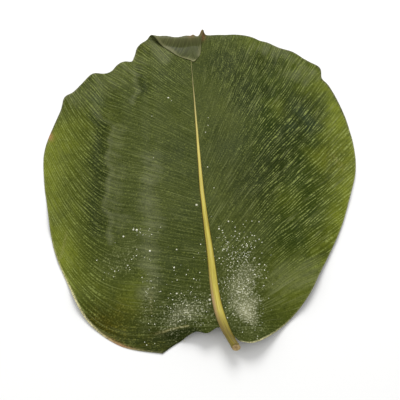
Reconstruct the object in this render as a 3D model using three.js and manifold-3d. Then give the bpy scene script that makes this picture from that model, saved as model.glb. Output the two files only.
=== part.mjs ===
// One fresh moin moin leaf (Thaumatococcus daniellii), picked and laid down with its underside up.
// The leaf grew as one piece, so it is one solid: a broad waved blade with its tip bent back over
// itself, a raised midrib, and a short cut stalk that runs straight on from the midrib.
// Millimetres, +Z up. +Y runs from the stalk to the bent tip. The table is z = 0.
import * as THREE from "three";
import { mergeVertices } from "three/addons/utils/BufferGeometryUtils.js";
import Module from "manifold-3d";

// Blade. "Length" is measured along the midrib of the blade laid flat, from where the stalk joins it.
const BLADE_LENGTH = 376;
const BLADE_THICKNESS = 0.8;
const BLADE_HALF_WIDTH = 152;
const JOIN_LENGTH = -13; // the blade's two halves start here on the midrib

// Margins of the blade laid flat, as [across, along], from the end of each base lobe round to the tip.
const LEFT_MARGIN = [
  [-46, -27], [-80, -18], [-108, 6], [-125, 41], [-139, 78], [-146, 116], [-152, 153], [-154, 190],
  [-146, 226], [-135, 256], [-116, 283], [-86, 294], [-64, 311], [-44, 338], [-20, 361], [0, BLADE_LENGTH],
];
const RIGHT_MARGIN = [
  [17, -26], [35, -25], [73, 7], [95, 40], [118, 79], [134, 115], [147, 151], [150, 188], [147, 226],
  [138, 264], [120, 301], [82, 317], [47, 337], [14, 339], [7, 363], [0, BLADE_LENGTH],
];

// Side veins. Each runs from the midrib out to the margin and turns up towards the tip.
const VEIN_CROWDING = 2.3; // over 1, so that many veins leave the midrib close to the stalk
const TIP_PLACE = 0.8; // from this share of the margin on, the veins run straight across the drip tip
const LEFT_VEIN_SAG = 0.16; // share of a vein's length that its middle hangs below a straight line
const RIGHT_VEIN_SAG = 0.06;
const LEFT_LOBE_SAG = -0.24; // of the first vein, which is the edge of the base lobe at the stalk
const RIGHT_LOBE_SAG = 0.1;

// Midrib line: a straight lean, slightly bowed, with two curls near the stalk, which ends straight.
const MIDRIB_LEAN = 0.008;
const MIDRIB_OFFSET = -5.8;
const MIDRIB_BOW = { size: 1.9, at: 52, reach: 42 };
const MIDRIB_CURLS = [
  { size: 6.2, reach: 46 },
  { size: 1.2, reach: 16 },
];
const STALK_STRAIGHT = -20; // below this length there is no more curl

// Midrib and stalk section: round on the side that shows, nearly flush with the blade on the other.
const STALK_END = -31;
const STALK_RADIUS = 4;
const STALK_WAIST = 0.86; // how far the stalk narrows towards its cut end
const RIB_LENGTH = 330; // the taper would come down to nothing here
const RIB_TAPER = 1.45;
const RIB_LEAST = 0.075; // the share of the radius that is left at the thin end
const RIB_STOP = 318; // the midrib is lost in the blade from here on
const RIB_FLUSH = 0.3; // depth below the blade, as a share of the radius
const STALK_CUT_SLANT = 1.2; // how far the foot of the cut face stands out past its head

// Rise of the blade over the table.
const RIDGE_MIDDLE = 21;
const RIDGE_AT_STALK = 13;
const RIDGE_AT_TIP = 7;
const SHOULDER_START = 0.28; // shares of the half width between which the blade comes down to the table
const SHOULDER_END = 0.9;
const LOBE_DROOP_TOP = 34; // below this length the blade's two base lobes come down
const LOBE_DROOP_RUN = 52;
const LOBE_DROOP_IN = 14;
const LOBE_DROOP_OUT = 66;

// The blade rests on three low spots of its margin, one of them flat, and lies a hair clear elsewhere.
const RESTS = [
  { across: 140, along: 172, flat: 25 },
  { across: -80, along: -18, flat: 0 },
  { across: -147, along: 222, flat: 0 },
];
const REST_REACH = 42;
const REST_CLEARANCE = 0.6;

// Left base lobe: it bends down below a crease, and its edge dips beside the stalk.
const CREASE = { from: [-46, -9], to: [-22, -9.5], slope: 0.9, fadeFrom: -8, fadeTo: -24 };
const EDGE_DIP = { across: -9, half: 6, drop: 5, felt: 0.03 };

// Bent tip. The fold runs straight across, but passes clear of the margin on the right.
const FOLD_AT = 331;
const FOLD_SLANT = { rise: 14, from: 8, to: 24 };
const FOLD_RADIUS = 3;
const FOLD_TURN = Math.PI * 1.005;

// Waves of the margin: side, place along the margin (0 lobe, 1 tip), half width, lift, outward push.
const MARGIN_WAVES = [
  { side: -1, at: 0.17, reach: 0.03, lift: 2.5, push: 0 },
  { side: -1, at: 0.32, reach: 0.04, lift: 3, push: 0 },
  { side: -1, at: 0.604, reach: 0.02, lift: 3, push: 2.8 },
  { side: -1, at: 0.681, reach: 0.02, lift: 2, push: -0.6 },
  { side: -1, at: 0.723, reach: 0.012, lift: 0, push: -2.6 },
  { side: -1, at: 0.747, reach: 0.015, lift: 1.5, push: -0.3 },
  { side: -1, at: 0.784, reach: 0.012, lift: 0, push: -2.8 },
  { side: -1, at: 0.827, reach: 0.02, lift: 0, push: 5.2 },
  { side: 1, at: 0.33, reach: 0.05, lift: 4, push: 0 },
  { side: 1, at: 0.612, reach: 0.01, lift: 0, push: -1.7 },
  { side: 1, at: 0.636, reach: 0.014, lift: 1.2, push: 4.5 },
  { side: 1, at: 0.743, reach: 0.03, lift: 3, push: 4.5 },
];
const WAVE_FADE = 3; // power by which a wave dies away from the margin to the midrib

// Pleats of the upper half, parallel to the midrib: place across, half width, start and end along, lift.
const PLEATS = [
  { across: -107, half: 10, from: 150, to: 285, lift: 4.5 },
  { across: -78, half: 9, from: 170, to: 300, lift: 3.5 },
  { across: -47, half: 11, from: 200, to: 325, lift: 4 },
  { across: -64, half: 6, from: 170, to: 310, lift: -1.5 },
  { across: 60, half: 14, from: 200, to: 330, lift: 3.5 },
  { across: 104, half: 12, from: 170, to: 305, lift: 3.5 },
  { across: -50, half: 3.5, from: 20, to: 90, lift: -1.2 },
  { across: -98, half: 6, from: 40, to: 110, lift: -1.6 },
  { across: 74, half: 5, from: 20, to: 90, lift: -1.2 },
];

// Mesh fineness.
const ROW_BANDS = [
  { rows: 8, from: 0, to: 0.08 }, // close together at the crease
  { rows: 23, from: 0.08, to: 0.55 },
  { rows: 26, from: 0.55, to: 0.78 }, // close together at the scallops
  { rows: 18, from: 0.78, to: 0.9 }, // and round the fold
  { rows: 6, from: 0.9, to: 0.994 },
];
const COLUMNS = 13; // on each half
const RIB_STEPS = 44;
const RIB_SIDES = 14;

const SIDES = {
  left: { sign: -1, margin: spline(LEFT_MARGIN), sags: [LEFT_LOBE_SAG, LEFT_VEIN_SAG] },
  right: { sign: 1, margin: spline(RIGHT_MARGIN), sags: [RIGHT_LOBE_SAG, RIGHT_VEIN_SAG] },
};

function spline(points) {
  return new THREE.SplineCurve(points.map(([across, along]) => new THREE.Vector2(across, along)));
}

// Smooth step from 0 to 1 between two values, either way round.
function ease(from, to, value) {
  const share = THREE.MathUtils.clamp((value - from) / (to - from), 0, 1);
  return share * share * (3 - 2 * share);
}

function bell(value, centre, reach) {
  return Math.exp(-(((value - centre) / reach) ** 2));
}

function midribAcross(along) {
  const bent = Math.max(along, STALK_STRAIGHT);
  let across = MIDRIB_OFFSET + MIDRIB_LEAN * along;
  across += MIDRIB_BOW.size * bell(along, MIDRIB_BOW.at, MIDRIB_BOW.reach);
  for (const { size, reach } of MIDRIB_CURLS) {
    across += size * Math.exp(-bent / reach) * (1 + (bent - along) / reach);
  }
  return across;
}

function ribRadius(along) {
  const share = THREE.MathUtils.clamp(1 - along / RIB_LENGTH, 0, 1);
  const waist = 1 + (STALK_WAIST - 1) * ease(-2, -26, along);
  return STALK_RADIUS * Math.max(share ** RIB_TAPER, RIB_LEAST) * waist;
}

// A margin point of the blade laid flat, with the outward push of the waves there.
function marginPoint(side, place) {
  const point = side.margin.getPoint(place);
  const along = side.margin.getTangent(place);
  const outward = new THREE.Vector2(along.y, -along.x).multiplyScalar(side.sign);
  for (const wave of MARGIN_WAVES.filter((w) => w.side === side.sign)) {
    point.addScaledVector(outward, wave.push * bell(place, wave.at, wave.reach));
  }
  return point;
}

// Where on the midrib the side vein starts that ends at a place of the margin.
function rootAlong(place) {
  const across = (at) => (SIDES.left.margin.getPoint(at).y + SIDES.right.margin.getPoint(at).y) / 2;
  if (place >= TIP_PLACE) return across(place);
  return JOIN_LENGTH + (across(TIP_PLACE) - JOIN_LENGTH) * (place / TIP_PLACE) ** VEIN_CROWDING;
}

// A point of the blade laid flat: share 0 on the midrib to 1 on the margin, along the side vein that
// ends at that place of the margin.
function flatPoint(side, place, share) {
  const along = rootAlong(place);
  const root = new THREE.Vector2(midribAcross(along), along);
  const end = marginPoint(side, place);
  const sag = THREE.MathUtils.lerp(...side.sags, ease(0, 0.3, place)) * ease(TIP_PLACE, 0.6, place);
  const middle = root.clone().lerp(end, 0.5);
  middle.y -= sag * root.distanceTo(end);
  const point = new THREE.QuadraticBezierCurve(root, middle, end).getPoint(share);
  if (side.sign < 0) {
    point.y -= EDGE_DIP.drop * bell(point.x, EDGE_DIP.across, EDGE_DIP.half) * bell(place, 0, EDGE_DIP.felt);
  }
  return point;
}

// How far a point of the flat blade lies below the left lobe's crease, dying away towards the midrib.
function belowCrease(flat) {
  const [fromX, fromY] = CREASE.from;
  const [toX, toY] = CREASE.to;
  const crease = fromY + ((toY - fromY) * (flat.x - fromX)) / (toX - fromX);
  return Math.max(crease - flat.y, 0) * ease(CREASE.fadeFrom, CREASE.fadeTo, flat.x);
}

// Height of the midrib over the table.
function ridgeHeight(along) {
  const rise = RIDGE_AT_STALK + (RIDGE_MIDDLE - RIDGE_AT_STALK) * ease(-20, 130, along);
  return rise + (RIDGE_AT_TIP - RIDGE_MIDDLE) * ease(180, FOLD_AT, along);
}

// Lowest height of the blade's middle layer over the table.
function lowestHeight(flat) {
  const near = RESTS.map((rest) =>
    ease(REST_REACH, rest.flat, Math.hypot(flat.x - rest.across, flat.y - rest.along)),
  );
  return BLADE_THICKNESS / 2 + REST_CLEARANCE * (1 - Math.max(...near));
}

// Height of the blade's middle layer over the table.
function bladeHeight(side, place, share, flat) {
  const out = Math.abs(flat.x - midribAcross(flat.y));
  let height = ridgeHeight(flat.y) * (1 - ease(SHOULDER_START, SHOULDER_END, out / BLADE_HALF_WIDTH));
  const droop = ease(LOBE_DROOP_TOP, LOBE_DROOP_TOP - LOBE_DROOP_RUN, flat.y);
  height *= 1 - droop * ease(LOBE_DROOP_IN, LOBE_DROOP_OUT, out);
  height -= CREASE.slope * belowCrease(flat);
  for (const pleat of PLEATS) {
    height += pleat.lift * bell(flat.x, pleat.across, pleat.half) * ease(pleat.from, pleat.to, flat.y);
  }
  for (const wave of MARGIN_WAVES.filter((w) => w.side === side.sign)) {
    height += wave.lift * bell(place, wave.at, wave.reach) * share ** WAVE_FADE;
  }
  return Math.max(height, lowestHeight(flat));
}

// The blade's middle layer in space, with the part past the fold turned over and laid back.
function bladePoint(side, place, share) {
  const flat = flatPoint(side, place, share);
  const height = bladeHeight(side, place, share, flat);
  const fold = FOLD_AT + FOLD_SLANT.rise * ease(FOLD_SLANT.from, FOLD_SLANT.to, flat.x);
  const past = flat.y - fold;
  if (past <= 0) return new THREE.Vector3(flat.x, flat.y, height);
  const turn = Math.min(past / FOLD_RADIUS, FOLD_TURN);
  const run = past - turn * FOLD_RADIUS;
  return new THREE.Vector3(
    flat.x,
    fold + FOLD_RADIUS * Math.sin(turn) + run * Math.cos(turn),
    height + FOLD_RADIUS * (1 - Math.cos(turn)) + run * Math.sin(turn),
  );
}

// Unit normal of the middle layer, towards the side that faces up before the fold.
function bladeNormal(side, place, share) {
  const step = 0.002;
  const low = Math.max(place - step, 0);
  const high = Math.min(place + step, 1);
  const inner = Math.max(share - step, 0);
  const outer = Math.min(share + step, 1);
  const up = bladePoint(side, high, share).sub(bladePoint(side, low, share));
  const out = bladePoint(side, place, outer).sub(bladePoint(side, place, inner));
  return out.cross(up).multiplyScalar(side.sign).normalize();
}

// The closed blade: an upper and a lower face on one grid of veins, split alike, joined by a rim.
function bladeGeometry() {
  const width = 2 * COLUMNS + 1;
  const places = ROW_BANDS.flatMap(({ rows, from, to }) =>
    Array.from({ length: rows }, (_, row) => from + ((to - from) * row) / rows),
  );
  const positions = [];
  const index = [];
  const layerPoint = (place, column, lift) => {
    const side = column < COLUMNS ? SIDES.left : SIDES.right;
    const share = Math.abs(column - COLUMNS) / COLUMNS;
    const normal = bladeNormal(side, place, Math.max(share, 0.02));
    return bladePoint(side, place, share).addScaledVector(normal, lift);
  };
  for (const lift of [BLADE_THICKNESS / 2, -BLADE_THICKNESS / 2]) {
    for (const place of places) {
      for (let column = 0; column < width; column++) positions.push(layerPoint(place, column, lift));
    }
    positions.push(layerPoint(ROW_BANDS.at(-1).to, COLUMNS, lift)); // the drip tip
  }
  const tip = places.length * width;
  const layer = tip + 1;
  const triangle = (a, b, c) => {
    index.push(a, b, c, layer + a, layer + c, layer + b);
  };
  for (let row = 0; row + 1 < places.length; row++) {
    for (let column = 0; column + 1 < width; column++) {
      const a = row * width + column;
      triangle(a, a + 1, a + width + 1);
      triangle(a, a + width + 1, a + width);
    }
  }
  const lastRow = tip - width;
  for (let column = 0; column + 1 < width; column++) triangle(lastRow + column, lastRow + column + 1, tip);
  const rim = [];
  for (let column = 0; column < width; column++) rim.push(column);
  for (let row = 1; row < places.length; row++) rim.push(row * width + width - 1);
  rim.push(tip);
  for (let row = places.length - 1; row > 0; row--) rim.push(row * width);
  rim.forEach((a, i) => {
    const b = rim[(i + 1) % rim.length];
    index.push(a, layer + a, layer + b, a, layer + b, b);
  });
  return indexed(positions, index);
}

// The midrib and the stalk: one tapering profile carried along the midrib line, closed at both ends.
function ribGeometry() {
  const positions = [];
  const index = [];
  for (let step = 0; step <= RIB_STEPS; step++) {
    const along = STALK_END + ((RIB_STOP - STALK_END) * step) / RIB_STEPS;
    const radius = ribRadius(along);
    const under = 1 + (RIB_FLUSH - 1) * ease(JOIN_LENGTH - 8, JOIN_LENGTH + 20, along);
    const slant = step === 0 ? STALK_CUT_SLANT : 0;
    for (let corner = 0; corner < RIB_SIDES; corner++) {
      const angle = (2 * Math.PI * corner) / RIB_SIDES;
      const rise = Math.sin(angle) * (Math.sin(angle) < 0 ? under : 1);
      positions.push(
        new THREE.Vector3(
          midribAcross(along) + radius * Math.cos(angle),
          along + slant * Math.sin(angle),
          ridgeHeight(along) + radius * rise,
        ),
      );
    }
  }
  const ring = (step, corner) => step * RIB_SIDES + (corner % RIB_SIDES);
  for (let step = 0; step < RIB_STEPS; step++) {
    for (let corner = 0; corner < RIB_SIDES; corner++) {
      const [a, b] = [ring(step, corner), ring(step, corner + 1)];
      const [c, d] = [ring(step + 1, corner + 1), ring(step + 1, corner)];
      index.push(a, c, b, a, d, c);
    }
  }
  for (let corner = 1; corner + 1 < RIB_SIDES; corner++) {
    index.push(ring(0, 0), ring(0, corner), ring(0, corner + 1));
    index.push(ring(RIB_STEPS, 0), ring(RIB_STEPS, corner + 1), ring(RIB_STEPS, corner));
  }
  return indexed(positions, index);
}

function indexed(points, index) {
  const geometry = new THREE.BufferGeometry().setFromPoints(points);
  geometry.setIndex(index);
  return geometry;
}

const wasm = await Module();
wasm.setup();

function solid(geometry) {
  const merged = mergeVertices(geometry, 1e-4);
  return new wasm.Manifold(
    new wasm.Mesh({
      numProp: 3,
      vertProperties: merged.attributes.position.array,
      triVerts: new Uint32Array(merged.index.array),
    }),
  );
}

function leafGeometry() {
  const mesh = solid(bladeGeometry()).add(solid(ribGeometry())).getMesh();
  const geometry = new THREE.BufferGeometry();
  geometry.setAttribute("position", new THREE.BufferAttribute(mesh.vertProperties, mesh.numProp));
  geometry.setIndex(new THREE.BufferAttribute(mesh.triVerts, 1));
  geometry.computeVertexNormals();
  return geometry;
}

const leaf = new THREE.Mesh(
  leafGeometry(),
  new THREE.MeshStandardMaterial({ color: 0x55602f, roughness: 0.5, metalness: 0 }),
);
leaf.name = "leaf";

// The part's origin is under the middle of its box, on the table.
const box = new THREE.Box3().setFromObject(leaf);
const middle = box.getCenter(new THREE.Vector3());
leaf.position.set(-middle.x, -middle.y, -box.min.z);

const part = new THREE.Group();
part.add(leaf);

export default part;
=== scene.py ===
import math

import bpy
import numpy as np
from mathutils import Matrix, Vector


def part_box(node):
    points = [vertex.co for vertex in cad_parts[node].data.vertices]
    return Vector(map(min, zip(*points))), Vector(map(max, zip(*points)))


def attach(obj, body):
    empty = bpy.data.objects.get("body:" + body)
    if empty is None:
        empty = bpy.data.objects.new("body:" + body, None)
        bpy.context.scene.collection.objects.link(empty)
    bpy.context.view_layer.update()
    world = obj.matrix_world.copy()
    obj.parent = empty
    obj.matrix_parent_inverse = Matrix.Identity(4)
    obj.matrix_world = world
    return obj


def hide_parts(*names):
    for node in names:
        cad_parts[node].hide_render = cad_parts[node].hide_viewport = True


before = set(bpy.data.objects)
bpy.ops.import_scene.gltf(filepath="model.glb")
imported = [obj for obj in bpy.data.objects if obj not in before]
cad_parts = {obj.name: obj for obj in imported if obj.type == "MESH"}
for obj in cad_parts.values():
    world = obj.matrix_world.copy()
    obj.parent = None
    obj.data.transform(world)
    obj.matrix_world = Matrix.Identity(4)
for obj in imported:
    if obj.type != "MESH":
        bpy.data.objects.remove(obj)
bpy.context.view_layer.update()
metre = 0.001  # the leaf's own sizes are in millimetres
print("frame loaded, nodes:", sorted(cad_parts))


def ease(low, high, value):  # smooth step from 0 to 1 between two values, either way round
    share = np.clip((value - low) / (high - low), 0, 1)
    return share * share * (3 - 2 * share)


def bell(value, centre, reach):  # 1 at the centre, dying away either side
    return np.exp(-(((value - centre) / reach) ** 2))


def splineAt(points, place):  # uniform Catmull-Rom curve through the points, place 0 to 1, ends doubled
    points = np.array(points, float)
    padded = np.vstack([points[:1], points, points[-1:]])
    at = np.clip(place, 0, 1) * (len(points) - 1)
    first = np.minimum(at.astype(int), len(points) - 2)
    t = (at - first)[..., None]
    p0, p1, p2, p3 = (padded[first + i] for i in range(4))
    cubic = 3 * (p1 - p2) + p3 - p0
    return p1 + 0.5 * t * (p2 - p0 + t * (2 * p0 - 5 * p1 + 4 * p2 - p3 + t * cubic))


def unit(vectors):  # each vector at length 1
    return vectors / np.maximum(np.linalg.norm(vectors, axis=-1, keepdims=True), 1e-12)


def gridQuads(rows, columns, closed=False):  # quads of a grid of points, row by row
    row, column = np.meshgrid(np.arange(rows - 1), np.arange(columns - (not closed)), indexing="ij")
    a, b = row * columns + column, row * columns + (column + 1) % columns
    return np.stack([a, b, b + columns, a + columns], axis=-1).reshape(-1, 4)


# a smooth mesh of the points and faces, with its materials and point attributes
def makePiece(name, points, faces, materials, materialOf=None, attributes=None):
    mesh = bpy.data.meshes.new(name)
    mesh.from_pydata(points.tolist(), [], faces)
    for material in materials:
        mesh.materials.append(material)
    mesh.polygons.foreach_set("use_smooth", np.ones(len(mesh.polygons), bool))
    if materialOf is not None:
        mesh.polygons.foreach_set("material_index", np.asarray(materialOf, np.int32))
    for label, values in (attributes or {}).items():
        made = mesh.attributes.new(label, "FLOAT_VECTOR", "POINT")
        made.data.foreach_set("vector", np.ascontiguousarray(values, np.float32).ravel())
    mesh.update()
    piece = bpy.data.objects.new(name, mesh)
    bpy.context.scene.collection.objects.link(piece)
    return piece


# the leaf's form in millimetres, the same as the solid's: x across, y along the midrib from the blade's base
leafForm = {
    "thickness": 0.5,
    "halfWidth": 152,
    "joinLength": -13,
    "leftMargin": [
        (-46, -27), (-80, -18), (-108, 6), (-125, 41), (-139, 78), (-146, 116), (-152, 153), (-154, 190),
        (-146, 226), (-135, 256), (-116, 283), (-86, 294), (-64, 311), (-44, 338), (-20, 361), (0, 376),
    ],
    "rightMargin": [
        (17, -26), (35, -25), (73, 7), (95, 40), (118, 79), (134, 115), (147, 151), (150, 188),
        (147, 226), (138, 264), (120, 301), (82, 317), (47, 337), (14, 339), (7, 363), (0, 376),
    ],
    "rootCrowding": 2.3,
    "tipPlace": 0.8,
    "leftSags": (-0.24, 0.16),  # of the rows in the lobe and in the blade
    "rightSags": (0.1, 0.06),
    "sagPlaces": (0.3, 0.6),  # where the lobe's sag has given way, and where the rows start to straighten
    "midribLean": 0.008,
    "midribOffset": -5.8,
    "midribBow": (1.9, 52, 42),  # size, place along, reach
    "midribCurls": [(6.2, 46), (1.2, 16)],  # size, reach
    "stalkStraight": -20,
    "stalkEnd": -31,
    "cutSlant": 1.2,
    "ridgeMiddle": 21,
    "ridgeAtStalk": 13,
    "ridgeAtTip": 7,
    "ridgeRise": (-20, 130),  # along
    "ridgeFall": 180,
    "shoulder": (0.28, 0.9),
    "lobeDroopFrom": 34,
    "lobeDroopRun": 52,
    "lobeDroopAcross": (14, 66),
    "foldAt": 331,
    "foldRadius": 3,
    "foldTurn": math.pi * 1.005,
    # the fold passes clear of the margin on the right: rise, from and to across
    "foldSlant": (14, 8, 24),
    "flapGap": 0.9,  # the bent tip comes to lie this far over the blade, in this run
    "flapRun": 11,
    "waveFade": 3,
    # low spots of the margin: across, along, flat part
    "rests": [(140, 172, 25), (-80, -18, 0), (-147, 222, 0)],
    "restReach": 42,
    "restClearance": 0.6,
    # two points of the left lobe's crease, the slope below it, and where it dies away
    "lobeBend": ((-46, -9), (-22, -9.5), 0.9),
    "lobeBendFade": (-8, -24),
    "sinusWave": (-9, 6, -5, 0.03),  # place across, half width, drop, how far up the margin it is felt
}

marginWaves = [  # side, place along the margin, half width, lift, outward push
    (-1, 0.17, 0.03, 2.5, 0), (-1, 0.32, 0.04, 3, 0), (-1, 0.604, 0.02, 3, 2.8), (-1, 0.681, 0.02, 2, -0.6),
    (-1, 0.723, 0.012, 0, -2.6), (-1, 0.747, 0.015, 1.5, -0.3), (-1, 0.784, 0.012, 0, -2.8),
    (-1, 0.827, 0.02, 0, 5.2),
    (1, 0.33, 0.05, 4, 0), (1, 0.612, 0.01, 0, -1.7), (1, 0.636, 0.014, 1.2, 4.5), (1, 0.743, 0.03, 3, 4.5),
]

pleats = [  # place across, half width, start and end along, lift
    (-107, 10, 150, 285, 4.5), (-78, 9, 170, 300, 3.5), (-47, 11, 200, 325, 4), (-64, 6, 170, 310, -1.5),
    (60, 14, 200, 330, 3.5), (104, 12, 170, 305, 3.5), (-50, 3.5, 20, 90, -1.2), (-98, 6, 40, 110, -1.6),
    (74, 5, 20, 90, -1.2),
]

ripples = [  # wavelength, heading in degrees, start, height
    (62, 20, 0.4, 0.5), (47, 105, 1.9, 0.45), (33, 150, 4.1, 0.3), (24, 62, 2.7, 0.2), (18, 12, 5.2, 0.13),
]

crestTeeth = [  # dried, uneven crest of the bent tip: place across, half width, lift
    (-30, 6, 1.0), (-17, 6, -0.8), (-6, 5, 1.0), (1, 2.2, 1.6), (5.5, 2.2, -1.2), (11, 2.4, 5.0),
    (16, 3, -0.8),
]
toothTurn = (2.0, 0.9)  # how far round the fold the teeth stand out, and their reach
toothShares = (0.6, 0.8)  # along and up


def midribAcross(along):  # a straight lean, a slight bow and curls near the stalk, straight below them
    bent = np.maximum(along, leafForm["stalkStraight"])
    bow, bowAt, bowReach = leafForm["midribBow"]
    across = leafForm["midribOffset"] + leafForm["midribLean"] * along + bow * bell(along, bowAt, bowReach)
    for size, reach in leafForm["midribCurls"]:
        across = across + size * np.exp(-bent / reach) * (1 + (bent - along) / reach)
    return across


def ridgeHeight(along):  # height of the midrib over the table
    atStalk, middle, atTip = leafForm["ridgeAtStalk"], leafForm["ridgeMiddle"], leafForm["ridgeAtTip"]
    rise = atStalk + (middle - atStalk) * ease(*leafForm["ridgeRise"], along)
    return rise + (atTip - middle) * ease(leafForm["ridgeFall"], leafForm["foldAt"], along)


def marginOf(side):  # -1 is the left half, 1 the right
    return leafForm["leftMargin" if side < 0 else "rightMargin"]


def marginPoint(side, place):  # the margin's curve, pushed outwards at its waves
    step = 1e-4
    ahead = splineAt(marginOf(side), place + step) - splineAt(marginOf(side), place - step)
    outward = unit(np.stack([ahead[..., 1], -ahead[..., 0]], axis=-1)) * side
    push = sum(w[4] * bell(place, w[1], w[2]) for w in marginWaves if w[0] == side)
    return splineAt(marginOf(side), place) + outward * push[..., None]


def betweenMargins(place):  # how far along the midrib the middle of both margins lies
    return (splineAt(marginOf(-1), place)[..., 1] + splineAt(marginOf(1), place)[..., 1]) / 2


def rootAlong(place):  # where on the midrib the row starts that ends at that place of the margin
    tip, join = leafForm["tipPlace"], leafForm["joinLength"]
    length = betweenMargins(np.array(tip)) - join
    below = join + length * np.clip(place / tip, 0, 1) ** leafForm["rootCrowding"]
    return np.where(place >= tip, betweenMargins(place), below)


def flatPoint(side, place, share):  # blade laid flat: a sagging row from the midrib, 0, to the margin, 1
    along = rootAlong(place)
    root = np.stack([midribAcross(along), along], axis=-1)
    end = marginPoint(side, place)
    lobeSag, bladeSag = leafForm["leftSags" if side < 0 else "rightSags"]
    lobeEnds, straightens = leafForm["sagPlaces"]
    sag = lobeSag + (bladeSag - lobeSag) * ease(0, lobeEnds, place)
    sag = sag * ease(leafForm["tipPlace"], straightens, place)
    middle = (root + end) / 2
    middle[..., 1] -= sag * np.linalg.norm(end - root, axis=-1)
    s = share[..., None]
    flat = (1 - s) ** 2 * root + 2 * s * (1 - s) * middle + s * s * end
    at, half, drop, felt = leafForm["sinusWave"]
    flat[..., 1] += drop * bell(flat[..., 0], at, half) * bell(place, 0, felt) * (side < 0)
    return flat


def ripple(x, along):  # a sum of slow slanting waves, the unevenness of a soft blade
    total = 0
    for wavelength, heading, start, high in ripples:
        way = x * math.cos(math.radians(heading)) + along * math.sin(math.radians(heading))
        total = total + high * np.sin(2 * math.pi * way / wavelength + start)
    return total


def belowCrease(x, along):  # how far a point lies below the left lobe's crease, dying away towards the midrib
    start, end, _ = leafForm["lobeBend"]
    creaseAlong = start[1] + (end[1] - start[1]) * (x - start[0]) / (end[0] - start[0])
    return np.maximum(creaseAlong - along, 0) * ease(*leafForm["lobeBendFade"], x)


def roofHeight(x, along):  # a flat ridge down to both margins, with drooping lobes, pleats, a crease, ripples
    out = np.abs(x - midribAcross(along))
    height = ridgeHeight(along) * (1 - ease(*leafForm["shoulder"], out / leafForm["halfWidth"]))
    droopFrom = leafForm["lobeDroopFrom"]
    droop = ease(droopFrom, droopFrom - leafForm["lobeDroopRun"], along)
    height = height * (1 - droop * ease(*leafForm["lobeDroopAcross"], out))
    for across, half, start, end, lift in pleats:
        height = height + lift * bell(x, across, half) * ease(start, end, along)
    return height - leafForm["lobeBend"][2] * belowCrease(x, along) + ripple(x, along)


def waveHeight(side, place, share):  # the margin's waves, dying away inwards
    lifts = sum(lift * bell(place, at, reach) for s, at, reach, lift, push in marginWaves if s == side)
    return lifts * share ** leafForm["waveFade"]


def lowestHeight(flat):  # the blade lies a hair clear of the table, apart from its three low spots
    near = 0
    for x, along, level in leafForm["rests"]:
        apart = np.hypot(flat[..., 0] - x, flat[..., 1] - along)
        near = np.maximum(near, ease(leafForm["restReach"], level, apart))
    return leafForm["thickness"] / 2 + leafForm["restClearance"] * (1 - near)


def bladePoint(side, place, share):  # the middle layer in space, turned over past the fold and laid back
    flat = flatPoint(side, place, share)
    x = flat[..., 0]
    height = np.maximum(roofHeight(x, flat[..., 1]) + waveHeight(side, place, share), lowestHeight(flat))
    radius = leafForm["foldRadius"]
    rise, start, end = leafForm["foldSlant"]
    fold = leafForm["foldAt"] + rise * ease(start, end, x)
    past = np.maximum(flat[..., 1] - fold, 0)
    turn = np.minimum(past / radius, leafForm["foldTurn"])
    run = past - turn * radius
    tooth = sum(lift * bell(x, at, half) for at, half, lift in crestTeeth) * bell(turn, *toothTurn)
    along = np.minimum(flat[..., 1], fold) + radius * np.sin(turn) + run * np.cos(turn)
    up = height + radius * (1 - np.cos(turn)) + run * np.sin(turn)
    lain = roofHeight(x, along) + leafForm["flapGap"]
    up = up + (lain - up) * ease(0, leafForm["flapRun"], run)
    return np.stack([x, along + toothShares[0] * tooth, up + toothShares[1] * tooth], axis=-1), flat


veinForm = {
    # lean at the lobes and its growth towards the tip; bend from so far out; how close the veins run
    "left": {"lean": 0.2, "leanGrowth": 0.0005, "tipGrowth": 1.6e-5, "bend": 0.015, "bendFrom": 72,
             "fine": 1.1},
    "right": {"lean": 0.8, "leanGrowth": 0.004, "tipGrowth": 6.3e-5, "bend": 0.0, "bendFrom": 0,
              "fine": 0.75},
    "rootOut": 0.5,  # beside the midrib's middle
    "lobeFan": 60,
    "ridgeSpacing": 6.5,
    "ridgeHeight": 0.06,
    "ridgeFromEdge": (1, 8),  # the ridges grow in from the margin and out from the midrib
    "ridgeFromRoot": (4, 14),
}


# veins lean more and more towards the tip, bend up further out and fan out in the lobes; gives how far along
# its vein a point lies, where on the midrib that vein starts, and the side
def veinWay(side, flat):
    form = veinForm["left" if side < 0 else "right"]
    out = np.abs(flat[..., 0] - midribAcross(flat[..., 1])) + veinForm["rootOut"]
    lean, growth = form["lean"], form["leanGrowth"]
    bend = form["bend"] * np.maximum(out - form["bendFrom"], 0) ** 2
    steady, quick = 1 + out * growth, out * form["tipGrowth"]
    left = flat[..., 1] - out * lean - bend
    underRoot = np.maximum(steady**2 + 4 * quick * left, 0.01)  # stays above zero
    root = 2 * left / (steady + np.sqrt(underRoot))
    join = leafForm["joinLength"]
    fan = lean + growth * join - (flat[..., 1] - bend - join) / out
    root = np.where(root < join, join - veinForm["lobeFan"] * fan, root)
    reach = np.hypot(out, np.maximum(flat[..., 1] - np.maximum(root, join), 0))
    return np.stack([reach, root * form["fine"], np.full_like(reach, side)], axis=-1)


bladeGrid = {
    "bands": [(90, 0, 0.55), (70, 0.55, 0.78), (70, 0.78, 0.9), (30, 0.9, 0.998)],  # rows, from, to
    "columns": 64,  # on each half, closer together towards the margin
    "marginCrowding": 1.35,
}


def bladeRows():  # places along the margin, closer together where it is waved
    places = [np.linspace(low, high, rows, endpoint=False) for rows, low, high in bladeGrid["bands"]]
    return np.concatenate(places + [np.array([bladeGrid["bands"][-1][2]])])


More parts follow.
